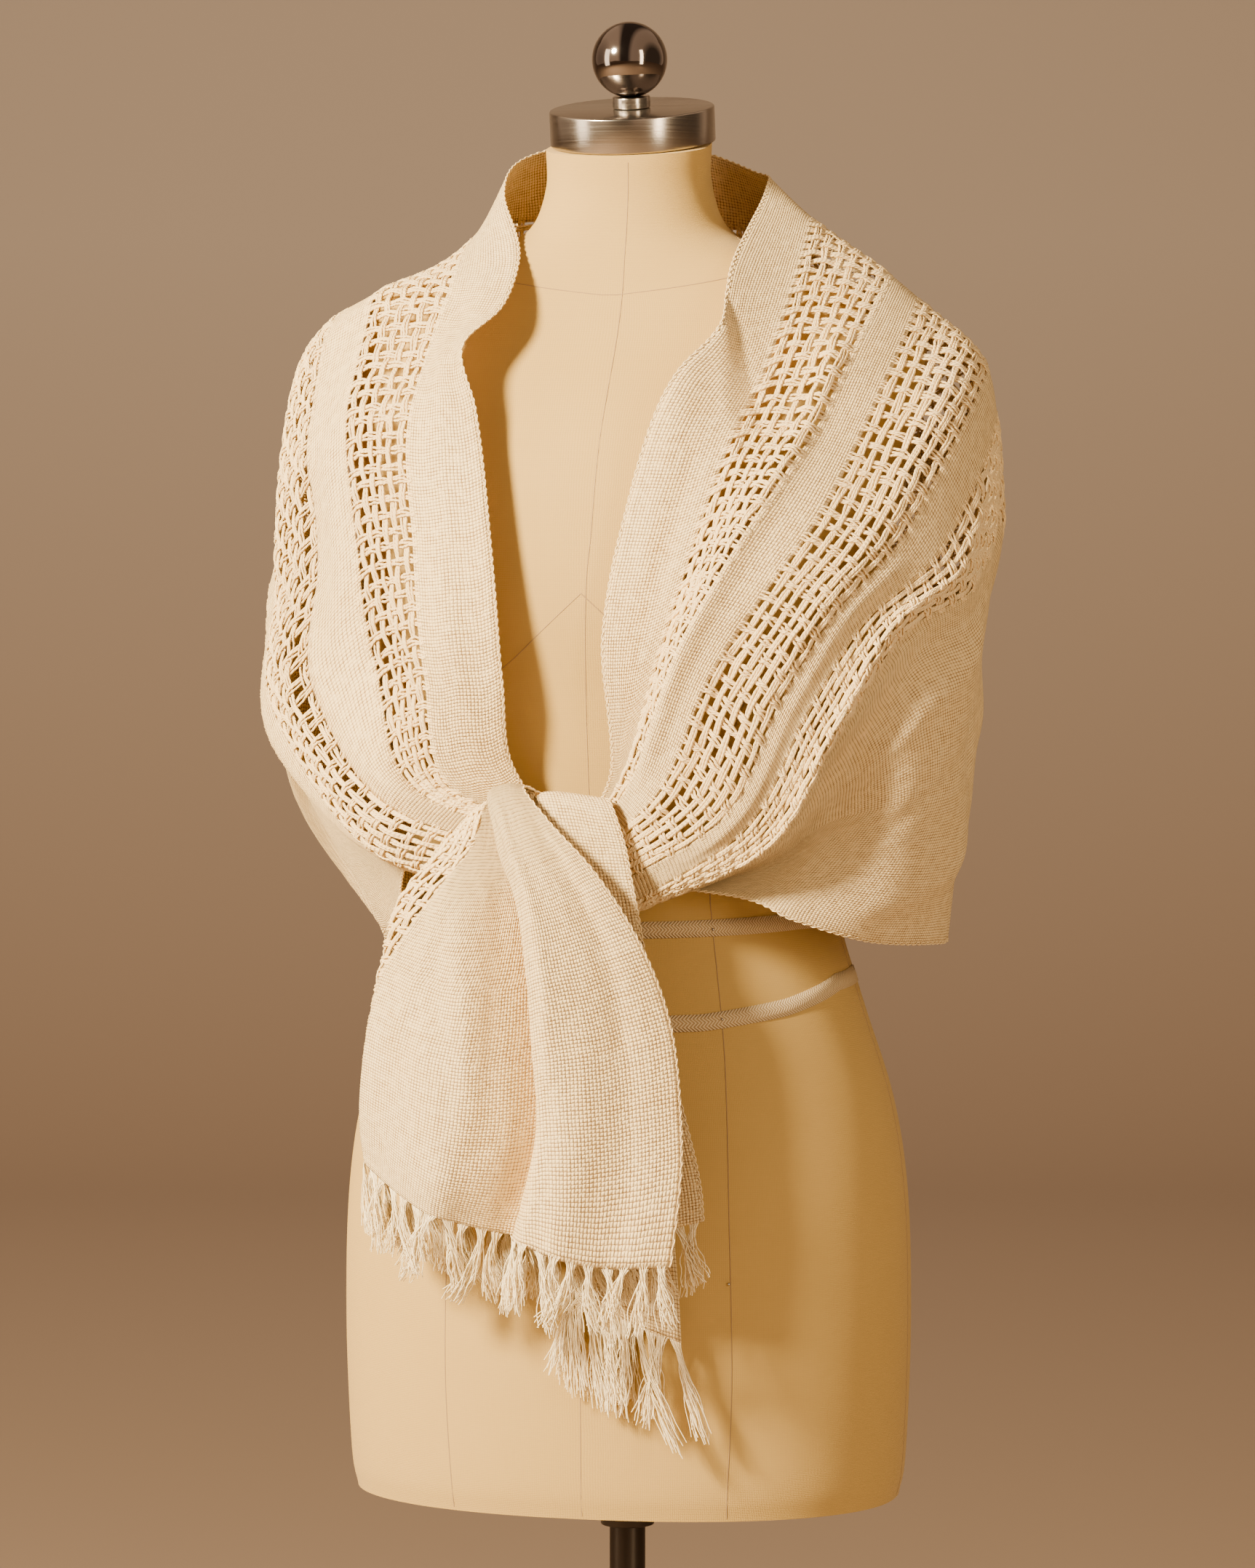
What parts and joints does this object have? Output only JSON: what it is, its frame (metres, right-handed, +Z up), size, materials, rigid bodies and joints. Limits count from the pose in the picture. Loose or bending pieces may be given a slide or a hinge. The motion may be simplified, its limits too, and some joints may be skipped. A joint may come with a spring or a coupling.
{
  "type": "lace shawl on a dress form",
  "caption": "Cream handwoven cotton shawl with openwork stripes and fringed ends, knotted over the front of a limbless linen dress form on a pole and round base",
  "frame": {"origin": "on the floor under the pole, at the middle of the base plate's underside", "axes": "+Z up, the form's front faces -Y, the form's own left side is +X"},
  "size_m": [0.4614, 0.3417, 1.3144],
  "materials": {
    "cotton": "loose handwoven cotton, cream, matte",
    "linen": "tight beige linen cover with fine seams",
    "brushed steel": "brushed around the axis",
    "dark chrome": "polished, dark",
    "dark metal": "dark bronze to black, satin"
  },
  "bodies": {
    "root": {"shawl_right_front": "cotton", "shawl_back": "cotton", "shawl_left_front": "cotton", "knot": "cotton", "front_tail": "cotton", "front_fringe": "cotton", "rear_tail": "cotton", "rear_fringe": "cotton", "form_body": "linen", "neck_cap": "brushed steel", "finial_collar": "brushed steel", "finial_ball": "dark chrome", "pole_collar": "dark metal", "clamp_knob": "dark metal", "pole": "dark metal", "base_plate": "dark metal"}
  },
  "joints": []
}
